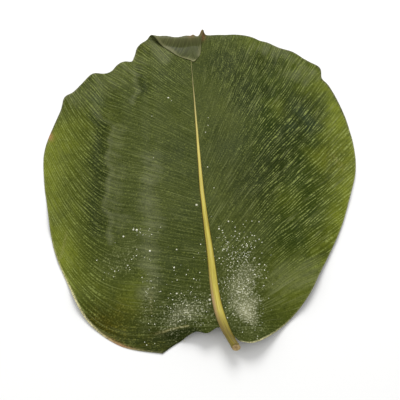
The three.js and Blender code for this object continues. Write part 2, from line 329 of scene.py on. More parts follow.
def bothHalves(work):  # runs a function of (side, place, share) on both halves and lays them side by side
    shares = 1 - np.linspace(1, 0, bladeGrid["columns"] + 1) ** bladeGrid["marginCrowding"]
    place, share = np.meshgrid(bladeRows(), shares, indexing="ij")
    left, right = work(-1, place, share), work(1, place, share)
    return tuple(np.concatenate([l[:, :0:-1], r], axis=1) for l, r in zip(left, right))


def bladeSheet(side, place, share):  # all that is known of each grid point
    point, flat = bladePoint(side, place, share)
    edge = np.linalg.norm(marginPoint(side, place) - flat, axis=-1)
    return point, flat, veinWay(side, flat), edge, place, np.full_like(share, side)


middleLayer, flatLayer, veinLayer, edgeLayer, placeLayer, sideLayer = bothHalves(bladeSheet)
rowCount, columnCount = edgeLayer.shape
normalLayer = unit(np.cross(np.gradient(middleLayer, axis=1), np.gradient(middleLayer, axis=0)))
veinRidge = np.sin(2 * math.pi * veinLayer[..., 1] / veinForm["ridgeSpacing"])
veinRidge = veinRidge * ease(*veinForm["ridgeFromEdge"], edgeLayer) * veinForm["ridgeHeight"]
veinRidge = veinRidge * ease(*veinForm["ridgeFromRoot"], veinLayer[..., 0])
halfThick = leafForm["thickness"] / 2
topLayer = middleLayer + normalLayer * (halfThick + veinRidge)[..., None]
underLayer = middleLayer - normalLayer * (halfThick - veinRidge)[..., None]
underLayer[..., 2] = np.maximum(underLayer[..., 2], 0)
print("blade grid", rowCount, "by", columnCount)

# across, the leaf lies in the middle of the solid's box; along, its cut stalk ends where the solid does
cadLow, cadHigh = (np.array(corner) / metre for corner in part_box("leaf"))
leafMiddle = (topLayer[..., 0].min() + topLayer[..., 0].max()) / 2
stalkLow = leafForm["stalkEnd"] - leafForm["cutSlant"]
leafShift = np.array([(cadLow[0] + cadHigh[0]) / 2 - leafMiddle, cadLow[1] - stalkLow, 0])


def placed(points):  # leaf millimetres to metres in the shared frame
    return (np.asarray(points) + leafShift) * metre


# where the blade changes colour, in the leaf's own millimetres
zoneForm = {
    "marginReach": 42,
    "marginOut": (25, 70),  # out from the midrib
    "marginAlong": (-10, 70),
    "marginFades": {-1: (0.85, 205, 255), 1: (0.65, 235, 290)},  # share, from and to along, on each half
    "freshOut": (34, 80),
    # a spot is its middle, its reach and its share; a band is joined points, half width and share
    "lightSpots": [((72, 28), (26, 28), 0.65), ((116, 162), (15, 20), 0.9), ((84, 219), (13, 16), 0.7),
                   ((76, 108), (18, 20), 0.35), ((-70, 20), (16, 16), 0.5)],
    # painted sheen: a grey veil where the flatter blade mirrors the light
    "paintedSheen": [((-62, 120), (44, 110), 0.6), ((-80, 60), (20, 22), 0.6), ((12, 130), (26, 120), 0.35),
             ((72, 24), (34, 20), 0.5), ((34, 306), (26, 22), 0.35), ((-20, 290), (26, 30), 0.3)],
    # painted light: pale bands where pleat crests and fold edges catch the light
    "sheenBands": [(((-90, 212), (-88, 170), (-90, 75)), 3, 0.6), (((-83, 205), (-80, 90)), 9, 0.3),
                  (((-48, 160), (-51, 110), (-56, 20)), 9, 0.52), (((-60, 288), (-64, 235)), 3.5, 0.5),
                  (((-108, 238), (-92, 216)), 5, 0.3), (((-46, 330), (-32, 306)), 9, 0.7),
                  (((-84, 285), (-88, 262)), 5, 0.4), (((-122, 258), (-62, 298)), 24, 0.32),
                  (((70, 316), (118, 296)), 9, 0.4), (((128, 274), (122, 286)), 7, 0.5),
                  (((104, 268), (120, 280)), 10, 0.45), (((58, 30), (84, 34)), 16, 0.45),
                  (((-42, 340), (-20, 361), (-2, 375)), 3.5, 0.6), (((12, 345), (6, 365)), 3, 0.5)],
    # painted shade: bands on slopes turned from the light, and under the bent tip's fold
    "shadeBands": [(((-102, 226), (-99, 160), (-101, 90)), 8, 0.95), (((44, 118), (112, 234)), 19, 1.0),
                  (((-56, 292), (-57, 245)), 4, 0.7), (((-28, 331), (-16, 326)), 4, 0.8),
                  (((50, 300), (84, 285)), 16, 0.8), (((28, 300), (44, 255), (46, 222)), 15, 0.95),
                  (((10, 200), (26, 100)), 14, 0.25)],
    # painted shade on the lobe below its crease and on other slopes, with a few plain darker spots
    "darkSpots": [((-37, -20), (14, 8), 1.0), ((-66, -14), (20, 8), 0.5), ((-134, 119), (14, 22), 0.28),
                  ((98, 66), (10, 20), 0.35), ((64, 246), (12, 13), 0.7)],
    "coolSpots": [((107, 213), (9, 15), 0.9), ((88, 196), (7, 10), 0.5), ((-103, 248), (9, 10), 0.6)],
    "warmSpots": [((-88, -2), (23, 20), 1.0), ((-50, -20), (18, 9), 0.9), ((-45, 325), (26, 12), 0.4),
                  ((128, 160), (20, 22), 0.35)],
    # white specks, with a painted glare of the light beside the midrib's base
    "dustAndGlareSpots": [((28, 1), (10, 14), 1.0), ((22, 20), (16, 32), 0.6), ((-24, 3), (24, 15), 0.52),
                  ((-54, 16), (8, 26), 0.28), ((-75, 55), (22, 14), 0.2)],
    "creases": [(((127, 168), (136, 148)), 0.8, 0.35), (((-128, 92), (-133, 66)), 1.0, 0.35),
                (((-50, -10), (-38, -9), (-24, -8.8)), 0.6, 0.9), (((-53, 22), (-54, 6)), 0.7, 0.4)],
    "facetDepth": (0.3, 2),  # the left lobe below its crease, painted in shade
    "facetAcross": (-66, -48),
    "litTip": (0.06, 330, 338),  # painted light on the bent tip: share, from and to along
    "litCrest": (0.34, 340, 9),  # painted light on the crest of the fold, against its shade: share, along, half
    "crestFrom": leafForm["foldAt"] - 2,
    "shadedEdge": (0.9, 2.6, 0.6),  # painted shade along the upper margin's edge: share, from and to in from the margin
    "shadedEdgePlaces": ((0.4, 0.55), (0.88, 0.84)),  # where along the margin it starts and ends
    # painted highlight along the margin's edge, where it catches the light
    "rimLeast": 0.12,
    "rimWidth": (2.6, 0.78),
    # side, place along the margin, half, and the share or how deep it goes
    "highlightedRims": [(-1, 0.16, 0.1, 1.0), (1, 0.05, 0.06, 0.8), (-1, 1.0, 0.06, 0.6), (1, 1.0, 0.03, 0.6)],
    "dryRims": [(-1, 0.503, 0.007, 5), (-1, 0.07, 0.02, 2.2)],
    "dryCrest": [(-1, 4.0, 0.9), (11, 3.0, 0.8)],  # place across, half, share
    "dryAlong": (leafForm["foldAt"] + 5, 5),
    # slow waves that make outlines uneven: size, how fast they turn across and along, start
    "sidewaysWaves": [(2.2, 0, 1 / 9, 1), (1.6, 1 / 15, 1 / 4.3, 0), (1.5, 0, 1 / 23, 2)],
    "lengthwaysWaves": [(3.0, 1 / 8, 0, 0), (2.0, 1 / 3.7, 1 / 18, 0)],
    "wavesFrom": (0, 20),  # across
}

# how strongly the streaks along the veins show
streakForm = {
    "least": 0.18,
    "rightMost": 0.82,
    "rightOut": ((22, 70), (10, 30)),  # out from the midrib, low down and high up
    "rightAlong": (15, 75),
    "highAlong": (190, 280),
    "highFade": 0.3,
    "smoothSpot": (0.7, 14, 0.56, 0.06),  # fade, reach inwards, place along the right margin, half
    "leftMost": 0.7,
    "leftOut": (82, 112),
    "leftHigh": (0.6, 215, 270),  # share, from and to along
    "facetFade": 0.85,
}

zoneNames = {  # point attribute and what its three numbers are
    "zones": ("margin", "dark", "paintedSheen"),
    "tints": ("fresh", "cool", "warm"),
    "highlightsAndMarks": ("rim", "dry", "dustAndGlare"),
    "lines": ("streaks", "crease", "pale"),
}


def segmentDistance(points, start, end):  # distance to the nearest point of a straight stretch
    start, end = np.array(start, float), np.array(end, float)
    way = end - start
    share = np.clip(((points - start) @ way) / (way @ way), 0, 1)
    return np.linalg.norm(points - start - share[..., None] * way, axis=-1)


def strongest(*layers):  # the largest of the layers at each point
    return np.maximum.reduce(layers)


def bands(points, entries):  # the strongest of several stripes along joined points
    total = np.zeros(points.shape[:-1])
    for way, half, share in entries:
        distance = np.min([segmentDistance(points, a, b) for a, b in zip(way[:-1], way[1:])], axis=0)
        total = strongest(total, share * bell(distance, 0, half))
    return total


def spots(points, entries):  # the strongest of several oval spots
    total = np.zeros(points.shape[:-1])
    for at, reach, share in entries:
        oval = bell(points[..., 0], at[0], reach[0]) * bell(points[..., 1], at[1], reach[1])
        total = strongest(total, share * oval)
    return total


def wandered(points):  # shifts the points by sums of sines, less so near the middle
    x, y = points[..., 0], points[..., 1]
    shifts = [
        sum(size * np.sin(x * across + y * along + start) for size, across, along, start in zoneForm[waves])
        for waves in ("sidewaysWaves", "lengthwaysWaves")
    ]
    return points + np.stack(shifts, axis=-1) * ease(*zoneForm["wavesFrom"], np.abs(x))[..., None]


acrossLayer, alongLayer = flatLayer[..., 0], flatLayer[..., 1]
outLayer = np.abs(acrossLayer - midribAcross(alongLayer))
unevenLayer = wandered(flatLayer)


def marginZone():  # dies away in from the margin, and towards the tip; light spots on top
    form = zoneForm
    zone = bell(edgeLayer, 0, form["marginReach"]) * ease(*form["marginOut"], outLayer)
    zone = zone * ease(*form["marginAlong"], alongLayer)
    for side, (share, start, end) in form["marginFades"].items():
        zone = zone * (1 - (sideLayer == side) * share * ease(start, end, alongLayer))
    return strongest(zone, spots(unevenLayer, form["lightSpots"]))


def paintedLightZone():  # painted light: pale bands where pleat crests and fold edges catch the light, and the bent tip and the crest where it bends over lightened against their shade
    tipShare, tipStart, tipEnd = zoneForm["litTip"]
    crestShare, crestAt, crestHalf = zoneForm["litCrest"]
    tip = tipShare * ease(tipStart, tipEnd, alongLayer)
    crest = crestShare * bell(alongLayer, crestAt, crestHalf) * (alongLayer > zoneForm["crestFrom"])
    return strongest(bands(unevenLayer, zoneForm["sheenBands"]), tip, crest)


def paintedShadeZone(facet):  # painted shade: dark bands on slopes turned from the light and under the fold, the lobe below its crease, and a thin shaded line at the upper margin; a few spots are plain darker green
    share, start, end = zoneForm["shadedEdge"]
    edge = share * ease(start, end, edgeLayer)
    for limits in zoneForm["shadedEdgePlaces"]:
        edge = edge * ease(*limits, placeLayer)
    highlightsAndMarks = strongest(bands(unevenLayer, zoneForm["shadeBands"]), spots(flatLayer, zoneForm["darkSpots"]))
    return strongest(highlightsAndMarks, facet, edge)


def edgeHighlightZone():  # painted highlight where the margin's edge catches the light: pale stretches of the margin, on a faint rim all round
    zone = np.full(edgeLayer.shape, zoneForm["rimLeast"])
    for side, at, half, share in zoneForm["highlightedRims"]:
        zone = strongest(zone, (sideLayer == side) * bell(placeLayer, at, half) * share)
    return zone * ease(*zoneForm["rimWidth"], edgeLayer)


def dryZone():  # dried spots on the margin and on the crest of the bent tip
    zone = np.zeros(edgeLayer.shape)
    for side, at, half, deep in zoneForm["dryRims"]:
        zone = strongest(zone, (sideLayer == side) * bell(placeLayer, at, half) * bell(edgeLayer, 0, deep))
    for at, half, share in zoneForm["dryCrest"]:
        zone = strongest(zone, share * bell(acrossLayer, at, half) * bell(alongLayer, *zoneForm["dryAlong"]))
    return zone


def streakZone(facet):  # least beside the midrib, most far out, weaker on a smooth spot and below the crease
    form = streakForm
    high = ease(*form["highAlong"], alongLayer)
    near, far = (low + (top - low) * high for low, top in zip(*form["rightOut"]))
    right = ease(near, far, outLayer) * ease(*form["rightAlong"], alongLayer)
    right = form["least"] + form["rightMost"] * right * (1 - form["highFade"] * high)
    fade, reach, at, half = form["smoothSpot"]
    right = right * (1 - fade * bell(edgeLayer, 0, reach) * bell(placeLayer, at, half))
    share, start, end = form["leftHigh"]
    left = strongest(ease(*form["leftOut"], -acrossLayer), share * ease(start, end, alongLayer))
    left = form["least"] + form["leftMost"] * left
    return np.where(sideLayer > 0, right, left) * (1 - form["facetFade"] * facet)


def bladeZones():  # every zone, three to a point attribute
    form = zoneForm
    # the lobe below its crease, where shade is painted and the streaks fade
    facet = ease(*form["facetDepth"], belowCrease(acrossLayer, alongLayer))
    facet = facet * ease(*form["facetAcross"], acrossLayer)
    zone = {
        "margin": marginZone(),
        "dark": paintedShadeZone(facet),
        "paintedSheen": spots(unevenLayer, form["paintedSheen"]),
        "fresh": (sideLayer > 0) * ease(*form["freshOut"], outLayer),  # the right half, out from the midrib
        "cool": spots(unevenLayer, form["coolSpots"]),
        "warm": spots(unevenLayer, form["warmSpots"]),
        "rim": edgeHighlightZone(),
        "dry": dryZone(),
        "dustAndGlare": spots(unevenLayer, form["dustAndGlareSpots"]),
        "streaks": streakZone(facet),
        "crease": bands(flatLayer, form["creases"]),
        "pale": paintedLightZone(),
    }
    return {label: np.stack([zone[name] for name in names], axis=-1) for label, names in zoneNames.items()}


zoneLayers = bladeZones()
print("colour zones done")


def linear(colour):  # 0 to 255 screen colour to a linear one
    share = np.array(colour, float) / 255
    return (*np.where(share <= 0.04045, share / 12.92, ((share + 0.055) / 1.055) ** 2.4), 1.0)


def newMaterial(name):  # gives the material, its node tree and its shader
    material = bpy.data.materials.new(name)
    material.use_nodes = True
    return material, material.node_tree, material.node_tree.nodes["Principled BSDF"]


def addNode(tree, kind, inputs=None, **settings):  # an input is a socket to link or a value to set
    made = tree.nodes.new(kind)
    for key, value in settings.items():
        setattr(made, key, value)
    for key, value in (inputs or {}).items():
        if isinstance(value, bpy.types.NodeSocket):
            tree.links.new(value, made.inputs[key])
        else:
            made.inputs[key].default_value = value
    return made


def calc(tree, operation, first, second=0.0):  # one step of arithmetic
    return addNode(tree, "ShaderNodeMath", {0: first, 1: second}, operation=operation).outputs[0]


def times(tree, first, second):
    return calc(tree, "MULTIPLY", first, second)


def plus(tree, first, second):
    return calc(tree, "ADD", first, second)


def mixColour(tree, factor, first, second):  # second over first by the factor; a colour is 0 to 255
    ends = [value if isinstance(value, bpy.types.NodeSocket) else linear(value) for value in (first, second)]
    made = addNode(tree, "ShaderNodeMix", {0: factor, 6: ends[0], 7: ends[1]}, data_type="RGBA")
    return made.outputs[2]


def spread(tree, value, low, high, toLow=0.0, toHigh=1.0):  # clamped straight map of one range to another
    inputs = {"Value": value, "From Min": low, "From Max": high, "To Min": toLow, "To Max": toHigh}
    return addNode(tree, "ShaderNodeMapRange", inputs).outputs["Result"]


def noiseAt(tree, vector, scale, detail=2.0, rough=0.5):
    inputs = {"Vector": vector, "Scale": scale, "Detail": detail, "Roughness": rough}
    return addNode(tree, "ShaderNodeTexNoise", inputs).outputs["Fac"]


def stretched(tree, vector, *factors):  # each of the vector's numbers times its own factor
    made = addNode(tree, "ShaderNodeVectorMath", {0: vector, 1: factors}, operation="MULTIPLY")
    return made.outputs[0]


def attributeOf(tree, name):
    return addNode(tree, "ShaderNodeAttribute", attribute_name=name).outputs["Vector"]


def parts(tree, vector):  # a vector's three numbers
    made = addNode(tree, "ShaderNodeSeparateXYZ", {0: vector})
    return made.outputs[0], made.outputs[1], made.outputs[2]


def objectPlace(tree):
    return addNode(tree, "ShaderNodeTexCoord").outputs["Object"]


def zoneValues(tree, *labels):  # the blade's zones by name, from its point attributes
    values = {}
    for label in labels:
        values.update(zip(zoneNames[label], parts(tree, attributeOf(tree, label))))
    return values


# a coat is a colour and the values that its cover is the product of, each with the range that it is read over
# and the range that this becomes
def coated(tree, look, base, coats, values):
    colour = look[base]
    for name, *factors in coats:
        cover = None
        for value, *limits in factors:
            factor = spread(tree, values[value], *limits) if limits else values[value]
            cover = factor if cover is None else times(tree, cover, factor)
        colour = mixColour(tree, cover, colour, look[name])
    return colour


def finishSurface(tree, shader, look, colour, values):  # colour, roughness, bump and shine into the shader
    value, *limits = look["roughness"]
    height, strength, distance = look["bump"]
    inputs = {"Strength": strength, "Distance": distance, "Height": values[height]}
    bump = addNode(tree, "ShaderNodeBump", inputs)
    tree.links.new(colour, shader.inputs["Base Color"])
    tree.links.new(spread(tree, values[value], *limits), shader.inputs["Roughness"])
    tree.links.new(bump.outputs[0], shader.inputs["Normal"])
    shader.inputs["Specular IOR Level"].default_value = look["specular"]


undersideLook = {
    "green": (64, 72, 22),
    "deep": (50, 59, 14),
    "fresh": (33, 49, 1),
    "margin": (117, 126, 35),
    # painted sheen
    "paintedSheen": (82, 89, 46),
    # painted light on crests and fold edges
    "pale": (112, 116, 82),
    # painted shade
    "dark": (36, 45, 8),
    "cool": (48, 61, 42),
    "warm": (62, 58, 0),
    "speck": (128, 116, 40),
    "grain": (134, 141, 68),
    "streakLight": (134, 144, 78),
    "streakDark": (20, 33, 0),
    "thread": (120, 126, 78),
    "crease": (158, 152, 100),
    "dustAndGlare": (190, 190, 160),
    # painted glare beside the midrib's base
    "paintedGlare": (158, 158, 122),
    # painted highlight of the margin's edge
    "rim": (222, 214, 164),
    "dry": (166, 122, 84),
    "noises": {  # cells to the metre, detail, roughness
        "cloud": (16, 4, 0.55),
        "patch": (42, 3, 0.6),
        "mottle": (240, 2, 0.6),
        "powder": (760, 2, 0.6),
    },
    "veinNoises": {  # cells to the metre along and across the veins, and from half to half; detail, roughness
        "wander": ((15, 200, 7), 2.0, 0.5),
        "thread": ((26, 900, 3), 2.0, 0.5),
        "ragged": ((26, 260, 9), 3.0, 0.6),
        "breaks": ((70, 330, 5), 2.0, 0.6),
    },
    "veinSpacing": 0.0025,
    "veinRates": (0.68, 0.83),  # left and right half
    "wanderTurns": 11.0,
    "doubledReach": (0.045, 0.07),
    "raggedShares": (2.0, 1.4),  # in the dark and in the pale zones
    "dustShare": 0.12,
    "coats": [
        ("green", ("cloud", 0.38, 0.64)),
        ("fresh", ("fresh",), ("patch", 0.3, 0.6, 1.0, 0.65)),
        ("paintedSheen", ("paintedSheen",), ("patch", 0.3, 0.65, 0.6, 1.0)),
        ("margin", ("margin",), ("patch", 0.35, 0.62, 0.5, 0.95)),
        ("warm", ("warm",), ("patch", 0.35, 0.6, 0.5, 0.9)),
        ("speck", ("warm",), ("powder", 0.52, 0.64), ("mottle", 0.45, 0.6, 0.1, 0.8)),
        # painted shade, ragged along the veins
        ("dark", ("raggedShade", 0.95, 1.85, 0.0, 0.8), ("dark", 0.0, 0.25)),
        ("cool", ("cool", 0.0, 1.0, 0.0, 0.85)),
        # painted light on crests, ragged along the veins
        ("pale", ("raggedLight", 0.75, 1.6, 0.0, 0.75), ("pale", 0.0, 0.2)),
        ("streakDark", ("mottle", 0.48, 0.3, 0.0, 0.3), ("streaks", 0.2, 0.8, 1.0, 0.5)),
        ("streakDark", ("streak", 0.2, -0.8), ("streaks", 0.0, 1.0, 0.1, 0.42),
         ("margin", 0.0, 1.0, 1.0, 0.6)),
        ("thread", ("thread", 0.55, 0.66, 0.0, 0.5), ("patch", 0.4, 0.6, 0.25, 1.0)),
        ("streakLight", ("streak", 0.2, 0.9), ("streaks",), ("powder", 0.44, 0.55, 0.15, 1.0),  # beaded
         ("breaks", 0.44, 0.57, 0.08, 1.0)),
        ("streakDark", ("powder", 0.43, 0.3, 0.0, 0.4)),
        ("grain", ("powder", 0.57, 0.72, 0.0, 0.42), ("fresh", 0.0, 1.0, 1.0, 0.6)),
        ("crease", ("crease",), ("powder", 0.35, 0.6, 0.2, 1.0)),
        # painted glare, smooth, strongest where the specks lie thickest
        ("paintedGlare", ("dustAndGlare", 0.3, 1.0, 0.0, 0.62)),
        ("dustAndGlare", ("dusted", 0.57, 0.74), ("dustAndGlare", 0.02, 0.5, 0.0, 0.85)),
        # painted highlight of the edge, broken into beads
        ("rim", ("rim",), ("powder", 0.35, 0.6, 0.3, 1.0)),
        ("dry", ("dry",), ("powder", 0.3, 0.55, 0.5, 1.0)),
    ],
    "roughness": ("patch", 0.3, 0.7, 0.46, 0.62),
    "bump": ("streak", 0.2, 0.0002),  # strength, distance
    "specular": 0.05,
}


def veinStreaks(tree, vein, wander):  # sine of where on the midrib a vein starts, shaken by a noise
    look = undersideLook
    reach, root, half = parts(tree, vein)
    right = spread(tree, half, -1.0, 1.0)
    rate = spread(tree, right, 0.0, 1.0, *look["veinRates"])
    turns = times(tree, times(tree, root, 2 * math.pi / look["veinSpacing"]), rate)
    turns = plus(tree, turns, times(tree, wander, look["wanderTurns"]))
    # on the right there are twice as many where they have spread apart
    doubled = times(tree, spread(tree, reach, *look["doubledReach"]), right)
    single = times(tree, calc(tree, "SINE", turns), calc(tree, "SUBTRACT", 1.0, doubled))
    return plus(tree, single, times(tree, calc(tree, "SINE", times(tree, turns, 2.0)), doubled))


def undersideMaterial():  # satin green in zones, with beaded, broken streaks along the veins
    look = undersideLook
    material, tree, shader = newMaterial("leafUnderside")
    vein, place = attributeOf(tree, "veinWay"), objectPlace(tree)
    values = zoneValues(tree, *zoneNames)
    for name, settings in look["noises"].items():
        values[name] = noiseAt(tree, place, *settings)
    for name, (cells, detail, rough) in look["veinNoises"].items():
        values[name] = noiseAt(tree, stretched(tree, vein, *cells), 1.0, detail, rough)
    values["streak"] = veinStreaks(tree, vein, values["wander"])
    inDark, inPale = (times(tree, values["ragged"], share) for share in look["raggedShares"])
    values["raggedShade"] = plus(tree, values["dark"], inDark)
    values["raggedLight"] = plus(tree, values["pale"], inPale)
    values["dusted"] = plus(tree, values["powder"], times(tree, values["dustAndGlare"], look["dustShare"]))
    finishSurface(tree, shader, look, coated(tree, look, "deep", look["coats"], values), values)
    return material


upperLook = {
    "green": (58, 63, 24),
    "deep": (42, 47, 14),
    "streak": (98, 106, 56),
    # painted light on the bent tip and its crest
    "litFace": (128, 126, 88),
    # painted highlight of the edge
    "rim": (138, 136, 92),
    "dry": (122, 88, 52),
    "cloud": (18, 4, 0.55),  # cells to the metre, detail, roughness
    "fine": ((40, 460, 3), 2.5, 0.55),  # cells along and across the veins, and from half to half
    "coats": [
        ("green", ("cloud", 0.35, 0.68)),
        ("streak", ("fine", 0.48, 0.66, 0.0, 0.6)),
        ("litFace", ("pale", 0.0, 1.0, 0.0, 0.9)),
        ("rim", ("rim", 0.1, 0.8)),
        ("dry", ("dry",)),
    ],
    "roughness": ("cloud", 0.3, 0.7, 0.34, 0.48),
    "bump": ("fine", 0.3, 0.0005),  # strength, distance
    "specular": 0.1,
}


def upperMaterial():  # darker, a little glossier, with painted light along the bent tip
    look = upperLook
    material, tree, shader = newMaterial("leafUpperFace")
    values = zoneValues(tree, "highlightsAndMarks", "lines")
    cells, detail, rough = look["fine"]
    values["cloud"] = noiseAt(tree, objectPlace(tree), *look["cloud"])
    values["fine"] = noiseAt(tree, stretched(tree, attributeOf(tree, "veinWay"), *cells), 1.0, detail, rough)
    finishSurface(tree, shader, look, coated(tree, look, "deep", look["coats"], values), values)
    return material


ribLook = {
    "light": (198, 186, 78),
    "dark": (160, 142, 48),
    "middle": (206, 190, 100),
    "upper": (142, 132, 84),
    "edge": (84, 58, 22),
    "flank": (176, 146, 104),
    "stalk": (132, 118, 36),
    "stalkDark": (88, 72, 20),
    "cut": (190, 166, 110),
    "pith": (140, 112, 66),
    "fibre": ((5, 5, 45), 3, 0.6),  # cells round and along the midrib, detail, roughness
    "grain": (900, 3, 0.6),
    "edgeFibre": 0.5,
    "coats": [  # along is in metres from the blade's base
        ("light", ("fibre", 0.36, 0.6)),
        ("middle", ("along", 0.1, 0.17, 0.0, 0.7)),
        ("upper", ("along", 0.17, 0.26)),
        ("edge", ("leftEdge", -0.35, -0.6), ("along", 0.02, 0.07)),
        ("edge", ("across", 0.7, 0.95, 0.0, 0.75)),
        ("flank", ("across", -0.2, -0.7), ("along", 0.045, 0.015), ("fibre", 0.3, 0.55)),
    ],
    "stalkCoats": [("stalk", ("fibre", 0.38, 0.6))],
    "stalkFrom": (0.0, -0.022),
    "cutCoats": [("cut", ("grain", 0.35, 0.65)), ("pith", ("ring", 0.5, 0.2))],
    "cutFrom": (0.02, 0.2),
    "roughness": ("fibre", 0.3, 0.7, 0.4, 0.6),
    "bump": ("fibre", 0.4, 0.0006),  # strength, distance
    "specular": 0.35,
}


def ribMaterial():  # yellow fibre, brown at its edges, duller towards the tip, with a pale cut end
    look = ribLook
    material, tree, shader = newMaterial("midribFibre")
    way = attributeOf(tree, "ribWay")
    across, _, along = parts(tree, way)
    ring, cut, _ = parts(tree, attributeOf(tree, "ribEnd"))
    cells, detail, rough = look["fibre"]
    fibre = noiseAt(tree, stretched(tree, way, *cells), 1.0, detail, rough)
    values = {"across": across, "along": along, "ring": ring, "fibre": fibre}
    values["leftEdge"] = plus(tree, across, times(tree, fibre, look["edgeFibre"]))
    values["grain"] = noiseAt(tree, objectPlace(tree), *look["grain"])
    colour = coated(tree, look, "dark", look["coats"], values)
    stalkColour = coated(tree, look, "stalkDark", look["stalkCoats"], values)
    colour = mixColour(tree, spread(tree, along, *look["stalkFrom"]), colour, stalkColour)
    cutColour = coated(tree, look, "pith", look["cutCoats"], values)
    colour = mixColour(tree, spread(tree, cut, *look["cutFrom"]), colour, cutColour)
    finishSurface(tree, shader, look, colour, values)
    return material


dropLook = {
    # glints painted into the drops' colour
    "clear": (214, 214, 184),
    "bright": (248, 248, 228),
    "grain": (160, 2, 0.5),
    "coats": [("bright", ("grain", 0.35, 0.65))],
    "sockets": {"Roughness": 0.06, "IOR": 1.33, "Transmission Weight": 0.15},
}


def dropMaterial():  # glossy and slightly clear, with their glints painted into a whitish colour so that small drops show
    look = dropLook
    material, tree, shader = newMaterial("waterDrop")
    values = {"grain": noiseAt(tree, objectPlace(tree), *look["grain"])}
    tree.links.new(coated(tree, look, "clear", look["coats"], values), shader.inputs["Base Color"])
    for socket, value in look["sockets"].items():
        shader.inputs[socket].default_value = value
    return material


underside, upperFace = undersideMaterial(), upperMaterial()
ribFibre, waterDrop = ribMaterial(), dropMaterial()
print("materials done")


def rimLoop(rows, columns):  # the grid's outer points, once round
    grid = np.arange(rows * columns).reshape(rows, columns)
    return np.concatenate([grid[0, :-1], grid[:-1, -1], grid[-1, :0:-1], grid[:0:-1, 0]])


def buildBlade():  # two faces on one grid, half the thickness either side of the middle, and a rim round them
    count = rowCount * columnCount
    quads = gridQuads(rowCount, columnCount)
    loop = rimLoop(rowCount, columnCount)
    following = np.roll(loop, -1)
    rim = np.stack([loop, loop + count, following + count, following], axis=-1)
    faces = np.concatenate([quads, quads[:, ::-1] + count, rim])
    points = placed(np.concatenate([topLayer.reshape(-1, 3), underLayer.reshape(-1, 3)]))
    kinds = np.concatenate([np.zeros(len(quads)), np.ones(len(quads)), np.zeros(len(rim))])
    layers = {"veinWay": veinLayer * np.array([metre, metre, 1]), **zoneLayers}
    looks = {name: np.concatenate([layer.reshape(-1, 3)] * 2) for name, layer in layers.items()}
    return makePiece("blade", points, faces.tolist(), [underside, upperFace], kinds, looks)


blade = buildBlade()
print("blade done,", len(blade.data.polygons), "faces")

ribForm = {
    "radius": 4,
    "length": 330,  # to where it would taper out
    "taper": 1.45,
    "least": 0.075,  # share of the radius
    "stop": 318,
    "flush": 0.3,  # how much of the round shape is left below, past the join
    "flushRun": (-8, 20),
    "slantRun": 6,
    "stalkWaist": 0.86,
    "waistRun": (-2, -26),
    "steps": 220,
    "corners": 28,
    "capRings": [(0.03, 0.5), (0.3, 0.45), (0.55, 0.1), (0.86, 0.0), (0.97, 0.12)],  # share of radius, depth
    "grooves": (7, 0.018),  # count, depth as a share of the radius
}


def buildRib():  # a round, grooved profile, flatter below, carried along the midrib; rings close the cut end
    form, end = ribForm, leafForm["stalkEnd"]
    along = np.linspace(end, form["stop"], form["steps"])
    shares, depths = (np.array(column) for column in zip(*form["capRings"]))
    stations = np.concatenate([end + depths, along])
    inward = np.concatenate([shares, np.ones(len(along))])
    cut = np.concatenate([np.ones(len(shares)), np.zeros(len(along))])
    taper = np.clip(1 - stations / form["length"], 0, 1) ** form["taper"]
    radius = form["radius"] * np.maximum(taper, form["least"]) * inward
    radius = radius * (1 + (form["stalkWaist"] - 1) * ease(*form["waistRun"], stations))
    under = 1 + (form["flush"] - 1) * ease(*form["flushRun"], stations - leafForm["joinLength"])
    angle = np.linspace(0, 2 * math.pi, form["corners"], endpoint=False)
    sine, cosine = np.sin(angle)[None], np.cos(angle)[None]
    count, deep = form["grooves"]
    groove = 1 + deep * np.cos(count * angle)[None]
    rise = np.where(sine < 0, sine * under[:, None], sine)
    slant = leafForm["cutSlant"] * ease(end + form["slantRun"], end, stations) * inward
    centre = ridgeHeight(stations) + ripple(midribAcross(stations), stations)
    points = np.stack([
        midribAcross(stations)[:, None] + radius[:, None] * cosine * groove,
        stations[:, None] + slant[:, None] * sine,
        centre[:, None] + radius[:, None] * rise * groove,
    ], axis=-1)
    rows, columns = points.shape[:2]
    faces = gridQuads(rows, columns, closed=True)[:, ::-1].tolist()
    faces.append(list(range(columns)))
    faces.append(list(range((rows - 1) * columns, rows * columns))[::-1])
    ways = {
        "ribWay": (cosine, sine, stations[:, None] * metre),
        "ribEnd": (inward[:, None], cut[:, None], np.zeros_like(angle)[None]),
    }
    looks = {name: np.stack(np.broadcast_arrays(*way), axis=-1).reshape(-1, 3) for name, way in ways.items()}
    return makePiece("midrib", placed(points.reshape(-1, 3)), faces, [ribFibre], None, looks)


midrib = buildRib()
print("midrib done")

dropForm = {
    "seed": 23,
    "tries": 60000,
    "across": (-130, 130),
    "along": (-25, 260),
    "keep": 0.5,  # of the tries, in the thickest patch
    "radius": (0.28, 0.66),
    "smallness": 2.5,  # the larger, the more of the drops are small
    "height": 0.55,
    "patches": [  # middle, reach, how thick the drops stand
        ((23, 54), (15, 20), 1.0), ((26, 18), (15, 26), 0.55), ((-24, 12), (20, 24), 0.4),
        ((-70, 50), (22, 12), 0.15), ((-62, 80), (12, 5), 0.4), ((-55, 10), (5, 30), 0.25),
    ],
    "count": 480,
    # larger drops: across, along, radius
    "big": [(-10, 103, 1.3), (-5, 12, 1.2), (-32, 20, 0.9), (-30, 239, 1.1), (-64, 82, 1.2), (-67, 83, 0.9),
            (-76, 78, 1.0), (-53, 61, 1.0), (-33, 43, 0.9), (17, 85, 0.9), (8, 78, 0.9), (-30, 60, 0.8),
            (8, 206, 0.5), (7, 195, 0.5), (4, 186, 0.5), (3, 145, 0.6), (7, 121, 0.6), (-27, 234, 0.5),
            (-47, 213, 0.5), (-47, 159, 0.5)],
    "rings": [(1.0, -0.25), (0.8, 0.3), (0.45, 0.8), (0.08, 1.0)],  # share of the radius, share of the height
    "sides": 9,
}


